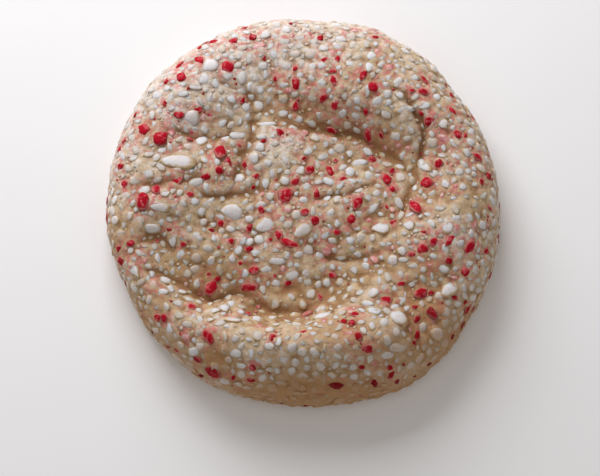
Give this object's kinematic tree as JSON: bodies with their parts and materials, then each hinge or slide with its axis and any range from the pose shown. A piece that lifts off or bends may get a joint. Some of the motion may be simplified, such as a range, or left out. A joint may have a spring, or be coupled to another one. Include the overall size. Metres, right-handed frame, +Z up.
{
  "type": "peppermint sugar cookie",
  "caption": "Round soft-baked cookie with a sunken, folded middle and a rolled rim, crusted all over with crushed peppermint candy; flat underneath.",
  "frame": {"origin": "middle of the flat base, below the middle of the cookie's widest outline", "axes": "+Z up, square to the base, with the crusted side up; +X to the right and +Y away from the viewer as in the picture"},
  "size_m": [0.0756, 0.0772, 0.016],
  "materials": {
    "dough": "pale baked sugar cookie dough, dry and fine-grained",
    "white_candy": "crushed white peppermint candy, pearly and a little translucent",
    "red_candy": "crushed crimson peppermint candy, wet-looking where it melted"
  },
  "bodies": {
    "root": {"cookie": "dough"}
  },
  "joints": []
}
